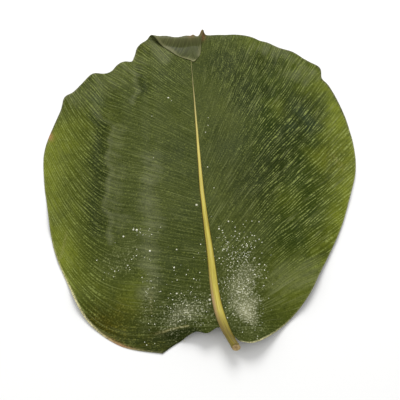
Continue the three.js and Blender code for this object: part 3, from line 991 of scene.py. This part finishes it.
def buildDrops():  # low domes standing square on the blade: rings of a circle, shrinking as they rise
    form = dropForm
    random = np.random.default_rng(form["seed"])
    flat = flatLayer[:, 1:-1].reshape(-1, 2)
    surface, normals = topLayer[:, 1:-1].reshape(-1, 3), normalLayer[:, 1:-1].reshape(-1, 3)
    tries = form["tries"]
    aim = np.stack([random.uniform(*form[way], tries) for way in ("across", "along")], axis=-1)
    chance = sum(
        thick * bell(aim[:, 0], at[0], reach[0]) * bell(aim[:, 1], at[1], reach[1])
        for at, reach, thick in form["patches"]
    )
    aim = aim[random.uniform(0, 1, tries) < chance * form["keep"]][: form["count"]]
    low, high = form["radius"]
    size = low + (high - low) * random.uniform(0, 1, len(aim)) ** form["smallness"]
    big = np.array(form["big"])
    size, aim = np.concatenate([size, big[:, 2]]), np.concatenate([aim, big[:, :2]])
    nearest = np.array([np.argmin(((flat - spot) ** 2).sum(-1)) for spot in aim])
    normal = normals[nearest]
    slope = -(normal[:, :2] * (aim - flat[nearest])).sum(-1) / normal[:, 2]
    foot = np.column_stack([aim, surface[nearest, 2] + slope])
    across = unit(np.cross(normal, [0.0, 1.0, 0.0]))
    ahead = np.cross(normal, across)
    shrink, lift = (np.array(column) for column in zip(*form["rings"]))
    angle = np.linspace(0, 2 * math.pi, form["sides"], endpoint=False)
    ring = shrink[:, None, None] * np.stack([np.cos(angle), np.sin(angle)], axis=-1)[None]
    foot, normal, across, ahead = (vectors[:, None, None] for vectors in (foot, normal, across, ahead))
    size = size[:, None, None, None]
    rise = (lift * form["height"])[None, :, None, None]
    dome = foot + size * (ring[None, ..., :1] * across + ring[None, ..., 1:] * ahead + rise * normal)
    perDrop = len(shrink) * form["sides"]
    starts = np.arange(len(foot)) * perDrop
    quads = (gridQuads(len(shrink), form["sides"], closed=True)[None] + starts[:, None, None]).reshape(-1, 4)
    caps = (np.arange(perDrop - form["sides"], perDrop)[None] + starts[:, None]).tolist()
    feet = (np.arange(form["sides"])[::-1][None] + starts[:, None]).tolist()
    return makePiece("waterDrops", placed(dome.reshape(-1, 3)), quads.tolist() + caps + feet, [waterDrop])


waterDrops = buildDrops()
print("water drops done,", len(waterDrops.data.polygons), "faces")

for piece in (blade, midrib, waterDrops):
    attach(piece, "root")
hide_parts("leaf")
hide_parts("leaf")

stageForm = {
    "floorSize": 30,
    "floorColour": (244, 244, 243),
    "floorRoughness": 0.9,
    "floorSpecular": 0.1,
    "worldStrength": 0.62,
    "keyPlace": (0.16, 0.95, 1.15),
    "keySize": 0.9,
    "keyPower": 16,
    "fillPlace": (-0.7, -0.7, 1.2),
    "fillSize": 1.2,
    "fillPower": 3,
}


def buildFloor():  # one large pale square at table height
    half = stageForm["floorSize"] / 2
    corners = np.array([(-half, -half, 0), (half, -half, 0), (half, half, 0), (-half, half, 0)])
    material, _, shader = newMaterial("paleFloor")
    shader.inputs["Base Color"].default_value = linear(stageForm["floorColour"])
    shader.inputs["Roughness"].default_value = stageForm["floorRoughness"]
    shader.inputs["Specular IOR Level"].default_value = stageForm["floorSpecular"]
    makePiece("floor", corners, [[0, 1, 2, 3]], [material])


def addLight(name, place, size, power):  # a round soft light, aimed at the origin
    lamp = bpy.data.lights.new(name, "AREA")
    lamp.shape, lamp.size, lamp.energy = "DISK", size, power
    light = bpy.data.objects.new(name, lamp)
    light.location = place
    light.rotation_euler = (-Vector(place)).to_track_quat("-Z", "Y").to_euler()
    bpy.context.scene.collection.objects.link(light)


cameraForm = {
    "azimuth": -3.85,
    "elevation": 55,
    "distance": 0.65,
    "target": (-0.0035, -0.0304, 0),
    "lens": 62.6,
    "sensor": 36,
    "clip": (0.01, 100),
}


def addCamera():  # so far from its target, turned by azimuth and elevation
    lens = bpy.data.cameras.new("camera")
    lens.lens, lens.sensor_width = cameraForm["lens"], cameraForm["sensor"]
    lens.clip_start, lens.clip_end = cameraForm["clip"]
    camera = bpy.data.objects.new("camera", lens)
    turn, tip = math.radians(cameraForm["azimuth"]), math.radians(cameraForm["elevation"])
    back = Vector((math.sin(turn) * math.cos(tip), -math.cos(turn) * math.cos(tip), math.sin(tip)))
    camera.location = Vector(cameraForm["target"]) + back * cameraForm["distance"]
    camera.rotation_euler = (-back).to_track_quat("-Z", "Y").to_euler()
    bpy.context.scene.collection.objects.link(camera)
    bpy.context.scene.camera = camera


def setWorld():  # even white light from all round
    world = bpy.data.worlds.new("softRoom")
    world.use_nodes = True
    sky = world.node_tree.nodes["Background"]
    sky.inputs["Color"].default_value = (1, 1, 1, 1)
    sky.inputs["Strength"].default_value = stageForm["worldStrength"]
    bpy.context.scene.world = world
    bpy.context.scene.view_settings.view_transform = "Standard"


buildFloor()
addLight("keyLight", stageForm["keyPlace"], stageForm["keySize"], stageForm["keyPower"])
addLight("fillLight", stageForm["fillPlace"], stageForm["fillSize"], stageForm["fillPower"])
addCamera()
setWorld()
print("stage done")
